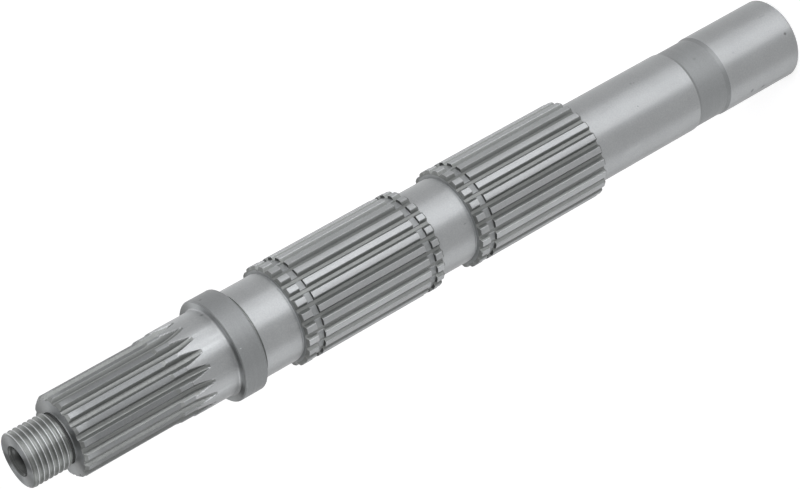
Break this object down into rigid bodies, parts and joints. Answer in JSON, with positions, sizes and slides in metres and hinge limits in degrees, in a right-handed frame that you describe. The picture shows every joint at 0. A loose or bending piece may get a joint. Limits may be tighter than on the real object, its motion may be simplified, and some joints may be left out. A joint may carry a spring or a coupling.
{
  "type": "transmission main shaft",
  "caption": "Gearbox main shaft: threaded end, hub spline, ball bearing seat with collar, two gear splines with retaining ring grooves, and a long ground end.",
  "frame": {"origin": "centre of the plain end's face, on the shaft's axis", "axes": "+Z along the axis from the plain end to the threaded end, -Y to the side that the picture's camera sees"},
  "size_m": [0.0298, 0.0298, 0.267],
  "materials": {
    "steel": "turned and ground, bare"
  },
  "bodies": {
    "root": {"main_shaft": "steel"}
  },
  "joints": []
}
